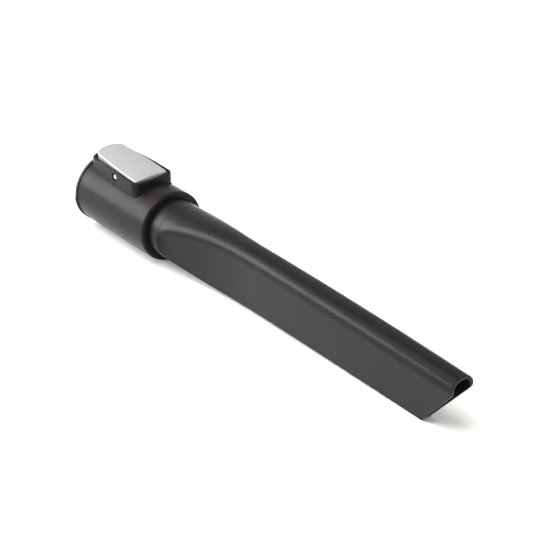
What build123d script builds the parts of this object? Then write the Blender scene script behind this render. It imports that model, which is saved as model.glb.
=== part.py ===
"""Vacuum crevice tool: a long flat-sided nozzle on a round coupling collar with a sprung release latch.

The tool lies along X. The origin is the centre of the coupling's mouth, at the rear. X runs to the tip,
Z points up through the release button, and the tool rests on the bottom of its rim and its nozzle.
All sizes are in millimetres.
"""
import os
from math import cos, radians, sin, sqrt, tan

from build123d import *

# Coupling: the wand's tube goes in at the rear, inside a liner that the collar covers
wand_diameter = 35.0
wand_clearance = 0.2
wand_depth = 57.0
liner_wall = 2.2
press_clearance = 0.05
joint_clearance = 0.1
collar_radius = 22.5
collar_length = 72.7
collar_edge_radius = 1.4
front_wall = 3.0
rim_radius = 22.9
rim_width = 2.2
rim_groove_width = 0.8
rim_groove_depth = 1.0
rim_edge_radius = 0.5
parting_step = 0.5
mouth_lead_in = 1.0
bore_relief = 0.4
bore_relief_margin = 0.6

# Nozzle: a round neck that is squashed into a tall narrow body
neck_radius = 18.4
nozzle_wall = 2.0
tail_flange_width = 3.0
tip_x = 318.0
tip_top = 15.0
crest_x = 120.0
arch_radius = 3960.0
crest_rise_length = 55.0
belly_x = 143.0
belly_depth = 21.1
belly_radius = 5700.0
belly_swell_length = 62.0
base_half_width = 3.7
side_lean = 8.0
corner_radius = 7.0
facet_start_x = 80.9
lead_end_x = 88.0
flare_end_x = 156.5
flare_radius = 277.0
mouth_setback = 24.0
tip_cut_angle = 39.5
tip_blend_radius = 6.0
tip_overhang = 6.0
neck_spans = 16
neck_crowding = 1.3
body_spans = 3

# Latch housing: an open frame that sits on the collar's back
housing_rear_x = 2.8
housing_front_x = 57.0
housing_half_width = 14.5
housing_rear_half_width = 12.4
housing_wall = 1.9
housing_front_bow = 1.5
housing_rear_bow = 1.4
housing_front_corner = 4.4
housing_rear_corner = 8.0
housing_rear_top = 26.6
housing_front_top = 25.9
housing_top_bow = 0.8
housing_edge_radius = 0.5
floor_thickness = 1.2
floor_margin = 1.6
foot_lip_reach = 0.9
foot_lip_height = 0.7
window_rear_x = 27.5
window_front_x = 53.0
window_half_width = 7.0
window_corner = 1.5
window_rim = 1.2

# Pivot: a steel pin across the housing
pivot_x = 33.7
pivot_z = 23.4
pin_radius = 1.4
pin_recess = 0.5
pin_hole_radius = 2.7
pin_hole_depth = 1.0
pin_chamfer = 0.3

# Release button: a rocker, pressed at its raised rear end
button_side_gap = 0.7
button_rear_gap = 1.6
button_front_gap = 0.8
button_rear_top = 31.4
button_front_top = 28.2
button_top_bow = 0.4
button_crown_radius = 37.0
button_wall = 1.8
button_edge_radius = 0.8
button_travel = 6.0
button_rest_gap = 0.3
ear_radius = 2.7
hook_rear_x = 44.5
hook_width = 4.5
hook_arm = 2.6
hook_half_width = 3.4
hook_reach = 1.3
hook_clearance = 0.9

# Return spring, under the button's rear end
spring_x = 15.5
spring_radius = 2.8
spring_wire_radius = 0.35
spring_turns = 5
spring_peg_gap = 0.35
spring_peg_height = 1.6

# Sizes worked out from those above
bore_radius = wand_diameter / 2 + wand_clearance
liner_radius = bore_radius + liner_wall
collar_bore_radius = liner_radius + press_clearance
collar_rear_x = rim_width + rim_groove_width
floor_level = -rim_radius
tip_base_x = tip_x - mouth_setback
housing_floor_radius = collar_radius + floor_thickness
window_length = window_front_x - window_rear_x
window_middle_x = (window_front_x + window_rear_x) / 2
button_rear_x = housing_rear_x + housing_wall + button_rear_gap
button_front_x = housing_front_x - housing_wall - button_front_gap
button_inset = housing_wall + button_side_gap
button_rear_skirt = collar_radius + (pivot_x - button_rear_x) * sin(radians(button_travel)) + button_rest_gap
button_front_skirt = housing_floor_radius + button_rest_gap
hook_front_x = hook_rear_x + hook_width
hook_tip_z = wand_diameter / 2 - hook_reach
hook_slot_rear_x = hook_rear_x - hook_clearance
hook_slot_length = hook_width + 3 * hook_clearance
seat_end_x = hook_slot_rear_x - bore_relief_margin
far_above = 2 * collar_radius

# Cross-sections are drawn on planes that look along the tool, with Y to the right and Z up
across = dict(x_dir=(0, 1, 0), z_dir=(1, 0, 0))


def smooth_rise(x, start, length):
    """Rises from 0 to 1 over the length, level at both ends."""
    share = min(max((x - start) / length, 0), 1)
    return share * share * (3 - 2 * share)


def top_edge(x):
    """Height of the nozzle's back: round at the neck, then one long shallow arch down to the tip."""
    arch = tip_top + ((tip_x - crest_x) ** 2 - (x - crest_x) ** 2) / (2 * arch_radius)
    return neck_radius + (arch - neck_radius) * smooth_rise(x, facet_start_x, crest_rise_length)


def bottom_edge(x):
    """Height of the nozzle's belly: round at the neck, then a very shallow arch down to the tip."""
    arch = -belly_depth - (x - belly_x) ** 2 / (2 * belly_radius)
    return -neck_radius + (arch + neck_radius) * smooth_rise(x, facet_start_x, belly_swell_length)


def flare(x, end, radius):
    """How far a shallow arc that is level at its end has moved outwards at x."""
    return max(end - x, 0) ** 2 / (2 * radius)


def half_width(x):
    """Half the nozzle's width between its flat sides, at the height of the tool's axis."""
    waist = base_half_width - floor_level * tan(radians(side_lean))
    just_inside = 0.03
    neck_touch = neck_radius / cos(radians(side_lean)) - just_inside
    lead_out = neck_touch - waist - flare(facet_start_x, flare_end_x, flare_radius)
    lead = lead_out * (max(lead_end_x - x, 0) / (lead_end_x - facet_start_x)) ** 2
    return waist + flare(x, flare_end_x, flare_radius) + lead


def nozzle_section(x, inset):
    """One cross-section of the nozzle: an oval cut by two leaning sides, its top corners rounded."""
    top = top_edge(x) - inset
    bottom = bottom_edge(x) + inset
    middle = half_width(x) - inset / cos(radians(side_lean))
    lean = tan(radians(side_lean))
    above = top + corner_radius
    below = bottom - corner_radius / 2
    with BuildSketch(Plane(origin=(x, 0, 0), **across)) as section:
        with Locations((0, (top + bottom) / 2)):
            Ellipse((top - bottom) / 2, neck_radius - inset, rotation=-90)
        with BuildLine():
            Polyline(
                (middle + above * lean, above),
                (-middle - above * lean, above),
                (-middle - below * lean, below),
                (middle + below * lean, below),
                close=True,
            )
        make_face(mode=Mode.INTERSECT)
        fillet(section.vertices().sort_by(Axis.Y)[-2:], corner_radius - inset)
    return section.sketch


def nozzle_form(inset, mode):
    """The nozzle's body as two lofts, with sections closest together where the neck turns into the body."""
    neck_length = flare_end_x - facet_start_x
    neck = [facet_start_x + neck_length * (step / neck_spans) ** neck_crowding for step in range(neck_spans + 1)]
    body_length = tip_x + tip_overhang - flare_end_x
    body = [flare_end_x + body_length * step / body_spans for step in range(body_spans + 1)]
    for stations in (neck, body):
        loft([nozzle_section(x, inset) for x in stations], mode=mode)


def latch_outline(plane, inset, rear_x, front_x, corner_cut=0):
    """Plan of the latch: bowed ends, sides that draw in towards the rear, and rounded corners."""
    front_corner_x = front_x - housing_front_bow
    rear_corner_x = rear_x + housing_rear_bow
    front_half = housing_half_width - inset
    rear_half = housing_rear_half_width - inset
    side_middle = ((front_corner_x + rear_corner_x) / 2, front_half - (front_half - rear_half) / 6)
    with BuildSketch(plane) as outline:
        with BuildLine():
            ThreePointArc((front_corner_x, -front_half), (front_x, 0), (front_corner_x, front_half))
            ThreePointArc((front_corner_x, front_half), side_middle, (rear_corner_x, rear_half))
            ThreePointArc((rear_corner_x, rear_half), (rear_x, 0), (rear_corner_x, -rear_half))
            ThreePointArc(
                (rear_corner_x, -rear_half), (side_middle[0], -side_middle[1]), (front_corner_x, -front_half)
            )
        make_face()
        fillet(outline.vertices().sort_by(Axis.X)[-2:], housing_front_corner - corner_cut)
        fillet(outline.vertices().sort_by(Axis.X)[:2], housing_rear_corner - corner_cut)
    return outline.sketch


def saddle(plan, thickness):
    """A shell that lies on the collar's back, as long and wide as the plan."""
    with BuildPart() as shell:
        extrude(plan, amount=far_above)
        with BuildSketch(Plane.YZ) as ring:
            Circle(collar_radius + thickness)
            Circle(collar_radius, mode=Mode.SUBTRACT)
        extrude(ring.sketch, amount=collar_length, mode=Mode.INTERSECT)
    return shell.part


def crowned_bar(drop):
    """Sweeps the button's arched section along its sloping top line, lowered by the drop."""
    half = housing_half_width + button_wall
    sag = button_crown_radius - sqrt(button_crown_radius**2 - half**2)
    slope = (button_front_top - button_rear_top) / (button_front_x - button_rear_x)
    overhang = 5.0
    start = (button_rear_x - overhang, 0, button_rear_top - slope * overhang - drop)
    end = (button_front_x + overhang, 0, button_front_top + slope * overhang - drop)
    middle = ((start[0] + end[0]) / 2, 0, (start[2] + end[2]) / 2 + button_top_bow)
    with BuildLine() as top_line:
        ThreePointArc(start, middle, end)
    path = top_line.line
    with BuildSketch(Plane(origin=path @ 0, x_dir=(0, 1, 0), z_dir=path % 0)) as section:
        with BuildLine():
            ThreePointArc((-half, -sag), (0, 0), (half, -sag))
            Polyline((half, -sag), (half, -collar_radius), (-half, -collar_radius), (-half, -sag))
        make_face()
    sweep(section.sketch, path=path, mode=Mode.INTERSECT)


# Nozzle: lofted body, round neck, and a flanged tail that the collar holds
tail_rear_x = wand_depth + joint_clearance
tail_front_x = collar_length - front_wall - joint_clearance
tail_radius = collar_bore_radius - press_clearance
with BuildPart() as nozzle:
    nozzle_form(0, Mode.ADD)
    with BuildSketch(Plane.XZ):
        with BuildLine():
            Polyline(
                (tail_rear_x, 0),
                (tail_rear_x, tail_radius),
                (tail_rear_x + tail_flange_width, tail_radius),
                (tail_rear_x + tail_flange_width, neck_radius),
                (tail_front_x - tail_flange_width, neck_radius),
                (tail_front_x - tail_flange_width, tail_radius),
                (tail_front_x, tail_radius),
                (tail_front_x, neck_radius),
                (facet_start_x, neck_radius),
                (facet_start_x, 0),
                close=True,
            )
        make_face()
    revolve(axis=Axis.X)
    nozzle_form(nozzle_wall, Mode.SUBTRACT)
    with BuildSketch(Plane.YZ.offset(tail_rear_x)):
        Circle(neck_radius - nozzle_wall)
    extrude(amount=facet_start_x - tail_rear_x, mode=Mode.SUBTRACT)
    # The belly is flat where it rests, near the tip
    split(bisect_by=Plane.XY.offset(floor_level), keep=Keep.TOP)
    # The mouth is cut back from the tip down to the belly
    cut_slope = tan(radians(tip_cut_angle))
    cut_top_z = floor_level + (tip_x - tip_base_x) / cut_slope
    below = collar_radius
    with BuildSketch(Plane.XZ) as mouth_cut:
        with BuildLine():
            Polyline(
                (tip_x, far_above),
                (tip_x, cut_top_z),
                (tip_base_x - below * cut_slope, floor_level - below),
                (tip_x + far_above, floor_level - below),
                (tip_x + far_above, far_above),
                close=True,
            )
        make_face()
        fillet(mouth_cut.vertices().sort_by_distance((tip_x, cut_top_z))[0], tip_blend_radius)
    extrude(amount=collar_radius, both=True, mode=Mode.SUBTRACT)
nozzle.part.label = "nozzle"

# Bore liner: the sleeve that the wand slides into, a little wider round the hook, with the rim at the rear
with BuildPart() as bore_liner:
    with BuildSketch(Plane.XZ):
        with BuildLine():
            Polyline(
                (0, bore_radius + mouth_lead_in),
                (0, rim_radius),
                (rim_width, rim_radius),
                (rim_width, collar_radius - rim_groove_depth),
                (collar_rear_x, collar_radius - rim_groove_depth),
                (collar_rear_x, liner_radius),
                (wand_depth, liner_radius),
                (wand_depth, bore_radius + bore_relief),
                (seat_end_x, bore_radius + bore_relief),
                (seat_end_x, bore_radius),
                (mouth_lead_in, bore_radius),
                close=True,
            )
        make_face()
    revolve(axis=Axis.X)
    round_edges = bore_liner.edges().filter_by(GeomType.CIRCLE)
    fillet(round_edges.filter_by(lambda edge: edge.radius > collar_radius), rim_edge_radius)
    # Below the mould's parting line the rim is a little wider, which has faded out halfway to the bottom
    with BuildSketch(Plane(origin=(rim_edge_radius, 0, 0), **across)):
        Ellipse(rim_radius + parting_step, rim_radius - parting_step)
        Circle(liner_radius, mode=Mode.SUBTRACT)
        with Locations((0, -rim_radius)):
            Rectangle(4 * rim_radius, 2 * rim_radius, mode=Mode.INTERSECT)
    extrude(amount=rim_width - 2 * rim_edge_radius)
    # The button's hook reaches through this slot
    with BuildSketch(Plane.XY):
        with Locations((hook_slot_rear_x + hook_slot_length / 2, 0)):
            Rectangle(hook_slot_length, 2 * (hook_half_width + hook_clearance))
    extrude(amount=collar_radius, mode=Mode.SUBTRACT)
bore_liner.part.label = "bore_liner"

# Collar: the outer sleeve, with a window in its back for the latch and a peg for the spring
spring_peg_radius = spring_radius - spring_wire_radius - spring_peg_gap
with BuildPart() as collar:
    with BuildSketch(Plane.XZ):
        with BuildLine():
            Polyline(
                (collar_rear_x, collar_bore_radius),
                (collar_rear_x, collar_radius),
                (collar_length, collar_radius),
                (collar_length, neck_radius + joint_clearance),
                (collar_length - front_wall, neck_radius + joint_clearance),
                (collar_length - front_wall, collar_bore_radius),
                close=True,
            )
        make_face()
    revolve(axis=Axis.X)
    front_edges = collar.edges().filter_by(GeomType.CIRCLE).group_by(Axis.X)[-1]
    fillet(front_edges.sort_by(SortBy.RADIUS)[-1], collar_edge_radius)
    with BuildSketch(Plane.XY):
        with Locations((window_middle_x, 0)):
            RectangleRounded(window_length, 2 * window_half_width, window_corner)
    extrude(amount=far_above, mode=Mode.SUBTRACT)
    peg_root_z = (collar_radius + collar_bore_radius) / 2
    with BuildSketch(Plane.XY.offset(peg_root_z)):
        with Locations((spring_x, 0)):
            Circle(spring_peg_radius)
    extrude(amount=collar_radius + spring_peg_height - peg_root_z)
collar.part.label = "collar"

# Two shells that lie on the collar and become part of the housing: its floor and a thin lip in front
foot_plane = Plane.XY.offset(collar_radius / 2)
with BuildSketch(foot_plane) as floor_plan:
    with Locations((window_middle_x, 0)):
        Rectangle(window_length + 2 * floor_margin, 2 * (window_half_width + floor_margin))
housing_floor = saddle(floor_plan.sketch, floor_thickness)
lip_plan = latch_outline(foot_plane, 0, housing_rear_x + foot_lip_reach, housing_front_x + foot_lip_reach)
foot_lip = saddle(lip_plan, foot_lip_height)

# Latch housing: walls with a saddle foot, a floor round the window, and holes for the pin
with BuildPart() as latch_housing:
    extrude(latch_outline(foot_plane, 0, housing_rear_x, housing_front_x), amount=far_above)
    top_rear_x = housing_rear_x - housing_wall
    top_front_x = housing_front_x + housing_wall
    top_middle_z = (housing_rear_top + housing_front_top) / 2 + housing_top_bow
    with BuildSketch(Plane.XZ):
        with BuildLine():
            ThreePointArc(
                (top_rear_x, housing_rear_top),
                ((top_rear_x + top_front_x) / 2, top_middle_z),
                (top_front_x, housing_front_top),
            )
            Polyline(
                (top_front_x, housing_front_top), (top_front_x, 0), (top_rear_x, 0), (top_rear_x, housing_rear_top)
            )
        make_face()
    extrude(amount=far_above, both=True, mode=Mode.INTERSECT)
    fillet(latch_housing.faces().sort_by(Axis.Z)[-1].edges(), housing_edge_radius)
    add(foot_lip)
    well = latch_outline(
        foot_plane, housing_wall, housing_rear_x + housing_wall, housing_front_x - housing_wall, housing_wall
    )
    extrude(well, amount=far_above, mode=Mode.SUBTRACT)
    with BuildSketch(Plane.YZ):
        Circle(collar_radius)
    extrude(amount=collar_length, mode=Mode.SUBTRACT)
    add(housing_floor)
    # A rim on the floor drops into the collar's window and places the housing
    with BuildSketch(Plane.XY.offset(liner_radius + joint_clearance)):
        with Locations((window_middle_x, 0)):
            RectangleRounded(
                window_length - 2 * joint_clearance,
                2 * (window_half_width - joint_clearance),
                window_corner - joint_clearance,
            )
    extrude(amount=collar_radius - liner_radius - joint_clearance)
    with BuildSketch(Plane.XY):
        with Locations((window_middle_x, 0)):
            Rectangle(window_length - 2 * window_rim, 2 * (window_half_width - window_rim))
    extrude(amount=far_above, mode=Mode.SUBTRACT)
    # The pin goes right across, in a small bore with a wider mouth on each side
    with BuildSketch(Plane.XZ):
        with Locations((pivot_x, pivot_z)):
            Circle(pin_radius + press_clearance)
    extrude(amount=far_above, both=True, mode=Mode.SUBTRACT)
    for side in (-1, 1):
        with BuildSketch(Plane.XZ.offset(side * (housing_half_width - pin_hole_depth))):
            with Locations((pivot_x, pivot_z)):
                Circle(pin_hole_radius)
        extrude(amount=side * collar_radius, mode=Mode.SUBTRACT)
latch_housing.part.label = "latch_housing"

# Pivot pin
pin_half_length = housing_half_width - pin_recess
with BuildPart() as pivot_pin:
    with BuildSketch(Plane.XZ):
        with Locations((pivot_x, pivot_z)):
            Circle(pin_radius)
    extrude(amount=pin_half_length, both=True)
    chamfer(pivot_pin.edges().filter_by(GeomType.CIRCLE), pin_chamfer)
pivot_pin.part.label = "pivot_pin"

# Hollow under the button's cap
with BuildPart() as button_hollow:
    hollow = latch_outline(
        Plane.XY.offset(liner_radius / 2),
        button_inset + button_wall,
        button_rear_x + button_wall,
        button_front_x - button_wall,
        button_inset + button_wall / 2,
    )
    extrude(hollow, amount=far_above)
    crowned_bar(button_wall)

# Release button: crowned cap, two ears on the pin, a hook at the front and a spring peg at the rear
with BuildPart() as release_button:
    cap = latch_outline(Plane.XY.offset(liner_radius), button_inset, button_rear_x, button_front_x, button_inset)
    extrude(cap, amount=far_above)
    crowned_bar(0)
    fillet(release_button.faces().sort_by(Axis.Z)[-1].edges(), button_edge_radius)
    add(button_hollow.part, mode=Mode.SUBTRACT)
    with BuildSketch(Plane.XZ):
        with BuildLine():
            Polyline(
                (0, 0),
                (0, button_rear_skirt),
                (button_rear_x, button_rear_skirt),
                (pivot_x, button_front_skirt),
                (collar_length, button_front_skirt),
                (collar_length, 0),
                close=True,
            )
        make_face()
    extrude(amount=far_above, both=True, mode=Mode.SUBTRACT)
    ear_outer = housing_half_width - button_inset - button_side_gap / 2
    for side in (-1, 1):
        with BuildSketch(Plane.XZ.offset(side * ear_outer)):
            with BuildLine():
                Polyline(
                    (pivot_x - ear_radius, pivot_z),
                    (pivot_x - ear_radius, button_front_top - 2 * button_wall),
                    (pivot_x + ear_radius, button_front_top - 2 * button_wall),
                    (pivot_x + ear_radius, pivot_z),
                )
                ThreePointArc(
                    (pivot_x + ear_radius, pivot_z),
                    (pivot_x, pivot_z - ear_radius),
                    (pivot_x - ear_radius, pivot_z),
                )
            make_face()
        extrude(amount=-side * button_wall)
    hook_root_z = button_front_top - button_wall / 2
    with BuildSketch(Plane.XZ):
        with BuildLine():
            Polyline(
                (hook_front_x - hook_arm, hook_root_z),
                (hook_front_x - hook_arm, bore_radius + liner_wall / 2),
                (hook_rear_x, bore_radius),
                (hook_front_x - hook_arm / 2, hook_tip_z),
                (hook_front_x, hook_tip_z),
                (hook_front_x, hook_root_z),
                close=True,
            )
        make_face()
    extrude(amount=hook_half_width, both=True)
    with BuildSketch(Plane.XZ):
        with Locations((pivot_x, pivot_z)):
            Circle(pin_radius + press_clearance)
    extrude(amount=far_above, both=True, mode=Mode.SUBTRACT)
    spring_top_z = button_rear_top - button_wall - (button_rear_top - button_front_top) / 4
    with BuildSketch(Plane.XY.offset(spring_top_z - spring_peg_height)):
        with Locations((spring_x, 0)):
            Circle(spring_peg_radius)
    extrude(amount=spring_peg_height + button_wall / 2)
release_button.part.label = "release_button"

# Return spring: a short coil round both pegs
spring_foot_z = collar_radius + spring_wire_radius + press_clearance
spring_height = spring_top_z - spring_wire_radius - 2 * press_clearance - spring_foot_z
with BuildPart() as return_spring:
    with BuildLine(Plane(origin=(spring_x, 0, spring_foot_z))) as coil_line:
        Helix(pitch=spring_height / spring_turns, height=spring_height, radius=spring_radius)
    coil = coil_line.line
    with BuildSketch(Plane(origin=coil @ 0, z_dir=coil % 0)):
        Circle(spring_wire_radius)
    sweep(path=coil, is_frenet=True)
return_spring.part.label = "return_spring"

os.makedirs("parts", exist_ok=True)
for piece in (nozzle, bore_liner, collar, latch_housing, pivot_pin, release_button, return_spring):
    export_step(piece.part, f"parts/{piece.part.label}.step")
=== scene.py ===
"""Finishes the vacuum crevice tool: moulded plastics, silver lacquer and steel, on a pale studio floor."""
import math

import bpy
from mathutils import Matrix, Vector


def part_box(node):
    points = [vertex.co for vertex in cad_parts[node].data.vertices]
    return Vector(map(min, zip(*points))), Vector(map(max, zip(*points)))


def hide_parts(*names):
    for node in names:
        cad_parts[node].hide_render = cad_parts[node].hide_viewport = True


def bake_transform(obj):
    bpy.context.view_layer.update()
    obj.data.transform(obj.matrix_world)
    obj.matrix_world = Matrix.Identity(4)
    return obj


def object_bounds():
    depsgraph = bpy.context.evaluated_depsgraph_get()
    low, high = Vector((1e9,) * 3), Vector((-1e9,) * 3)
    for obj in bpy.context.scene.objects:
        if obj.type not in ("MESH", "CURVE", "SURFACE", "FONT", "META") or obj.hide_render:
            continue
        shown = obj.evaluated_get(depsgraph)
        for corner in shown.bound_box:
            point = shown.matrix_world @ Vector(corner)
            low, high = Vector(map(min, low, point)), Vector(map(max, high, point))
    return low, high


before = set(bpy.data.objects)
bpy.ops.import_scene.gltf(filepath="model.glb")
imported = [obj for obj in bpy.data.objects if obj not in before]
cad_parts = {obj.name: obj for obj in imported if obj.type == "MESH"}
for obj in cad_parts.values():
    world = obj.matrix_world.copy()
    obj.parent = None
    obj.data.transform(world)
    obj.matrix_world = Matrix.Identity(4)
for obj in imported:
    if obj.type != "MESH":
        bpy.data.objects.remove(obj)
cad_low, cad_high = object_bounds()

# The photograph's camera, in degrees, metres and pixels
VIEW_AZIMUTH = 50.85
VIEW_ELEVATION = 29.8
VIEW_ROLL = -0.67
EYE = Vector((0.75974, -0.48557, 0.45181))
PHOTO_WIDTH = 533
FOCAL_PIXELS = 1560.0
SENSOR_MM = 36.0
CLIP_START = 0.01

# The studio: where the tool stands in it, its floor and the light of the room round it
TOOL_MIDDLE = Vector((0.15, 0, 0))
FLOOR_Z = cad_low.z
FLOOR_SIZE = 12.0
FLOOR_TONES = ((0.93, 0.93, 0.93), (0.95, 0.95, 0.95))
HORIZON_LIGHT = (0.55, 0.55, 0.55)
DOME_LIGHT = (0.58, 0.57, 0.55)
DOME_HEIGHT = 0.45

# Soft boxes: direction from the tool, distance, width, height, watts and colour
SOFT_BOXES = {
    "overhead": ((-0.06, -0.34, 0.94), 3.1, 2.2, 2.2, 96, (1.0, 0.975, 0.955)),
    "key": ((-0.74, -0.61, 0.33), 1.25, 1.0, 0.60, 22, (0.97, 0.945, 1.03)),
    "upper_left": ((-0.72, -0.28, 0.64), 1.4, 0.8, 0.5, 2.5, (0.98, 0.97, 1.0)),
    "back": ((0.25, 0.92, 0.24), 1.5, 1.6, 0.5, 7, (1.0, 0.97, 0.93)),
    "right": ((0.92, 0.20, 0.30), 1.5, 0.8, 0.5, 3, (1.0, 0.98, 0.96)),
    "far_fill": ((-0.74, 0.49, 0.44), 2.2, 1.6, 1.6, 2.5, (1.0, 0.98, 0.96)),
}

# Moulded plastics by node: two tones, roughness, grain, gloss and the radius that softens their edges
PLASTICS = {
    "nozzle": dict(
        name="nozzle_plastic", dark=(0.0055, 0.0050, 0.0048), light=(0.0080, 0.0073, 0.0069),
        roughness=0.33, grain_scale=2600, grain_depth=0.00004, gloss=0.145, edge_radius=0.0007,
    ),
    "collar": dict(
        name="collar_plastic", dark=(0.0095, 0.0080, 0.0076), light=(0.0125, 0.0106, 0.0100),
        roughness=0.32, grain_scale=2600, grain_depth=0.00003, gloss=0.10, edge_radius=0.0003,
    ),
    "bore_liner": dict(
        name="liner_plastic", dark=(0.0200, 0.0160, 0.0135), light=(0.0260, 0.0205, 0.0175),
        roughness=0.34, grain_scale=2600, grain_depth=0.00003, gloss=0.20, edge_radius=0.0003,
    ),
    "latch_housing": dict(
        name="housing_plastic", dark=(0.0080, 0.0072, 0.0064), light=(0.0105, 0.0094, 0.0084),
        roughness=0.30, grain_scale=3000, grain_depth=0.00002, gloss=0.10, edge_radius=0.0003,
    ),
}
ROUGHNESS_SPREAD = 0.04
BEVEL_SAMPLES = 6

# Silver lacquer and steel: their darker and lighter tones
SILVER_TONES = ((0.305, 0.31, 0.315), (0.40, 0.405, 0.41))
STEEL_TONES = ((0.50, 0.50, 0.51), (0.74, 0.73, 0.71))

# The middle part of a noise's range, which holds most of its values
NOISE_MIDDLE = (0.3, 0.7)

# Return spring, as in the part: turns and wire, then the mesh's steps round a turn and round the wire
SPRING_TURNS = 5
SPRING_WIRE_RADIUS = 0.00035
SPRING_TURN_STEPS = 36
SPRING_WIRE_STEPS = 10


def add_node(tree, kind, **values):
    """A new node, with values for its sockets by name, where _ stands for a space."""
    node = tree.nodes.new(kind)
    for name, value in values.items():
        node.inputs[name.replace("_", " ")].default_value = value
    return node


def noise(tree, place, scale, detail):
    """A noise texture over the coordinates."""
    texture = add_node(tree, "ShaderNodeTexNoise", Scale=scale, Detail=detail, Roughness=0.5)
    tree.links.new(place, texture.inputs["Vector"])
    return texture.outputs["Fac"]


def spread(tree, value, low, high):
    """Stretches the middle of a noise to run from low to high."""
    start, end = NOISE_MIDDLE
    remap = add_node(tree, "ShaderNodeMapRange", From_Min=start, From_Max=end, To_Min=low, To_Max=high)
    tree.links.new(value, remap.inputs["Value"])
    return remap.outputs["Result"]


def two_tone(tree, share, tones):
    """A colour that goes from the first tone to the second with the share."""
    mix = tree.nodes.new("ShaderNodeMix")
    mix.data_type = "RGBA"
    sockets = {socket.identifier: socket for socket in mix.inputs}
    sockets["A_Color"].default_value = (*tones[0], 1)
    sockets["B_Color"].default_value = (*tones[1], 1)
    tree.links.new(share, sockets["Factor_Float"])
    return next(socket for socket in mix.outputs if socket.identifier == "Result_Color")


def bump(tree, height, strength, depth, normal=None):
    """A bump from the height, on top of an earlier normal if given."""
    node = add_node(tree, "ShaderNodeBump", Strength=strength, Distance=depth)
    tree.links.new(height, node.inputs["Height"])
    if normal is not None:
        tree.links.new(normal, node.inputs["Normal"])
    return node.outputs["Normal"]


def new_finish(name):
    """A new material, with its node tree, its shader and the object's own coordinates."""
    material = bpy.data.materials.new(name)
    material.use_nodes = True
    tree = material.node_tree
    shader = next(node for node in tree.nodes if node.type == "BSDF_PRINCIPLED")
    place = tree.nodes.new("ShaderNodeTexCoord").outputs["Object"]
    return material, tree, shader, place


def moulded_plastic(name, dark, light, roughness, grain_scale, grain_depth, gloss, edge_radius):
    """Injection-moulded plastic: faint cloudy colour, fine eroded grain, shrinkage waves, softened edges."""
    material, tree, shader, place = new_finish(name)
    clouds = noise(tree, place, scale=45, detail=4)
    colour = two_tone(tree, spread(tree, clouds, 0, 1), (dark, light))
    tree.links.new(colour, shader.inputs["Base Color"])
    smears = noise(tree, place, scale=160, detail=6)
    patches = spread(tree, smears, roughness - ROUGHNESS_SPREAD, roughness + ROUGHNESS_SPREAD)
    tree.links.new(patches, shader.inputs["Roughness"])
    shader.inputs["Specular IOR Level"].default_value = gloss
    soft_edges = add_node(tree, "ShaderNodeBevel", Radius=edge_radius)
    soft_edges.samples = BEVEL_SAMPLES
    waves = noise(tree, place, scale=28, detail=1)
    slow = bump(tree, waves, strength=0.25, depth=0.0004, normal=soft_edges.outputs["Normal"])
    grain = noise(tree, place, scale=grain_scale, detail=3)
    tree.links.new(bump(tree, grain, strength=0.35, depth=grain_depth, normal=slow), shader.inputs["Normal"])
    return material


def silver_lacquer(name):
    """Silver lacquer on plastic: fine bright flakes under a clear coat, with a faint orange peel."""
    material, tree, shader, place = new_finish(name)
    flakes = add_node(tree, "ShaderNodeTexVoronoi", Scale=9000)
    tree.links.new(place, flakes.inputs["Vector"])
    sparkle = add_node(tree, "ShaderNodeMapRange", To_Min=0.35, To_Max=0.65)
    tree.links.new(flakes.outputs["Distance"], sparkle.inputs["Value"])
    tree.links.new(two_tone(tree, sparkle.outputs["Result"], SILVER_TONES), shader.inputs["Base Color"])
    shader.inputs["Metallic"].default_value = 0.30
    clouds = noise(tree, place, scale=90, detail=3)
    tree.links.new(spread(tree, clouds, 0.30, 0.38), shader.inputs["Roughness"])
    shader.inputs["Coat Weight"].default_value = 0.35
    shader.inputs["Coat Roughness"].default_value = 0.12
    peel = noise(tree, place, scale=700, detail=2)
    tree.links.new(bump(tree, peel, strength=0.15, depth=0.00003), shader.inputs["Normal"])
    return material


def worked_steel(name, scale, stretch):
    """Bright steel with fine marks from its working, finer along the axes that are stretched."""
    material, tree, shader, place = new_finish(name)
    mapping = add_node(tree, "ShaderNodeMapping", Scale=stretch)
    tree.links.new(place, mapping.inputs["Vector"])
    marks = noise(tree, mapping.outputs["Vector"], scale=scale, detail=4)
    tree.links.new(two_tone(tree, marks, STEEL_TONES), shader.inputs["Base Color"])
    shader.inputs["Metallic"].default_value = 1.0
    tree.links.new(spread(tree, marks, 0.18, 0.34), shader.inputs["Roughness"])
    tree.links.new(bump(tree, marks, strength=0.2, depth=0.00002), shader.inputs["Normal"])
    return material


def finish_solids():
    """Gives each CAD solid its material, and returns the materials by node."""
    finishes = {node: moulded_plastic(**plastic) for node, plastic in PLASTICS.items()}
    finishes["release_button"] = silver_lacquer("button_silver")
    finishes["pivot_pin"] = worked_steel("pin_steel", 900, (1, 12, 1))
    finishes["return_spring"] = worked_steel("spring_steel", 1200, (1, 1, 1))
    for node, finish in finishes.items():
        for material_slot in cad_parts[node].material_slots:
            material_slot.material = finish
    return finishes


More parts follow.
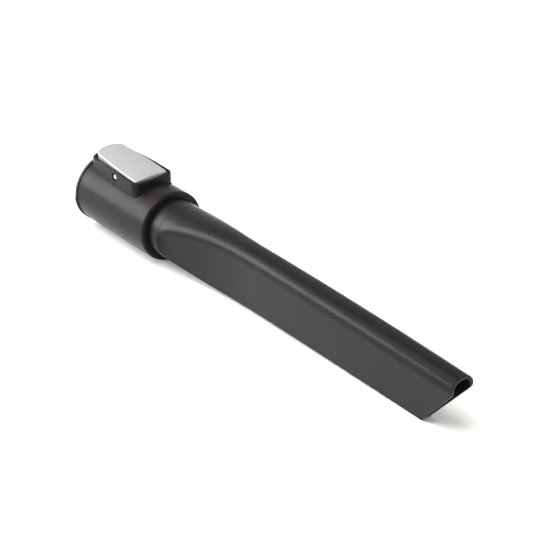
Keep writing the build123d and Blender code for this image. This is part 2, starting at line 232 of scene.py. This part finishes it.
def coil_mesh(name, middle, foot_z, head_z, coil_radius):
    """A round wire wound upwards from foot_z to head_z, as one closed mesh."""
    rings = SPRING_TURNS * SPRING_TURN_STEPS + 1
    rise = (head_z - foot_z) / (rings - 1)
    upwards = Vector((0, 0, 1))
    points = []
    for ring in range(rings):
        angle = math.tau * ring / SPRING_TURN_STEPS
        outwards = Vector((math.cos(angle), math.sin(angle), 0))
        centre = Vector((middle.x, middle.y, foot_z + rise * ring)) + outwards * coil_radius
        for step in range(SPRING_WIRE_STEPS):
            turn = math.tau * step / SPRING_WIRE_STEPS
            side = outwards * math.cos(turn) + upwards * math.sin(turn)
            points.append(centre + side * SPRING_WIRE_RADIUS)
    faces = []
    for ring in range(rings - 1):
        here = ring * SPRING_WIRE_STEPS
        ahead = here + SPRING_WIRE_STEPS
        for step in range(SPRING_WIRE_STEPS):
            after = (step + 1) % SPRING_WIRE_STEPS
            faces.append((here + step, ahead + step, ahead + after, here + after))
    first_ring = list(range(SPRING_WIRE_STEPS))
    last_ring = [len(points) - SPRING_WIRE_STEPS + step for step in first_ring]
    faces.append(first_ring)
    faces.append(last_ring[::-1])
    mesh = bpy.data.meshes.new(name)
    mesh.from_pydata(points, [], faces)
    mesh.shade_smooth()
    return mesh


def spring_between_pegs(finish):
    """The coil under the button, wound from its foot on the collar up to its head under the button, shown in
    place of the spring's part.
    """
    low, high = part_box("return_spring")
    middle = (low + high) / 2
    foot_z = low.z + SPRING_WIRE_RADIUS
    head_z = high.z - SPRING_WIRE_RADIUS
    mesh = coil_mesh("coil_spring", middle, foot_z, head_z, (high.x - low.x) / 2 - SPRING_WIRE_RADIUS)
    mesh.materials.append(finish)
    coil = bpy.data.objects.new("coil_spring", mesh)
    bpy.context.collection.objects.link(coil)
    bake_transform(coil)
    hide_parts("return_spring")


def floor():
    """The pale paper floor under the tool."""
    material, tree, shader, place = new_finish("floor_paper")
    fibres = noise(tree, place, scale=300, detail=4)
    tree.links.new(two_tone(tree, fibres, FLOOR_TONES), shader.inputs["Base Color"])
    shader.inputs["Roughness"].default_value = 0.9
    bpy.ops.mesh.primitive_plane_add(size=FLOOR_SIZE, location=(TOOL_MIDDLE.x, TOOL_MIDDLE.y, FLOOR_Z))
    paper = bpy.context.object
    paper.name = "floor"
    paper.data.materials.append(material)


def surround():
    """An even pale room, a touch warmer overhead than round the horizon."""
    world = bpy.data.worlds.new("studio_world")
    world.use_nodes = True
    tree = world.node_tree
    background = next(node for node in tree.nodes if node.type == "BACKGROUND")
    split = tree.nodes.new("ShaderNodeSeparateXYZ")
    direction = tree.nodes.new("ShaderNodeTexCoord").outputs["Generated"]
    tree.links.new(direction, split.inputs["Vector"])
    height = add_node(tree, "ShaderNodeMapRange", From_Min=0.0, From_Max=DOME_HEIGHT)
    height.interpolation_type = "SMOOTHSTEP"
    tree.links.new(split.outputs["Z"], height.inputs["Value"])
    colour = two_tone(tree, height.outputs["Result"], (HORIZON_LIGHT, DOME_LIGHT))
    tree.links.new(colour, background.inputs["Color"])
    bpy.context.scene.world = world


def soft_box(name, direction, distance, width, height, watts, colour):
    """A rectangular studio light that faces the tool from the direction."""
    light = bpy.data.lights.new(name, "AREA")
    light.shape = "RECTANGLE"
    light.size = width
    light.size_y = height
    light.energy = watts
    light.color = colour
    lamp = bpy.data.objects.new(name, light)
    bpy.context.collection.objects.link(lamp)
    from_tool = Vector(direction).normalized() * distance
    lamp.location = TOOL_MIDDLE + from_tool
    lamp.rotation_mode = "QUATERNION"
    lamp.rotation_quaternion = (-from_tool).to_track_quat("-Z", "Y")


def camera():
    """The camera at the photograph's viewpoint."""
    azimuth, elevation, roll = (math.radians(angle) for angle in (VIEW_AZIMUTH, VIEW_ELEVATION, VIEW_ROLL))
    level_right = Vector((math.cos(azimuth), math.sin(azimuth), 0))
    away = Vector((-math.sin(azimuth), math.cos(azimuth), 0))
    upright = Vector((0, 0, 1))
    level_up = upright * math.cos(elevation) + away * math.sin(elevation)
    back = upright * math.sin(elevation) - away * math.cos(elevation)
    right = level_right * math.cos(roll) + level_up * math.sin(roll)
    up = level_up * math.cos(roll) - level_right * math.sin(roll)
    lens = bpy.data.cameras.new("photo_camera")
    lens.sensor_width = SENSOR_MM
    lens.lens = SENSOR_MM * FOCAL_PIXELS / PHOTO_WIDTH
    lens.clip_start = CLIP_START
    eye = bpy.data.objects.new("photo_camera", lens)
    bpy.context.collection.objects.link(eye)
    eye.matrix_world = Matrix.Translation(EYE) @ Matrix((right, up, back)).transposed().to_4x4()
    bpy.context.scene.camera = eye


finishes = finish_solids()
spring_between_pegs(finishes["return_spring"])
camera()
floor()
surround()
for box_name, box in SOFT_BOXES.items():
    soft_box(box_name, *box)
bpy.context.scene.view_settings.view_transform = "Standard"
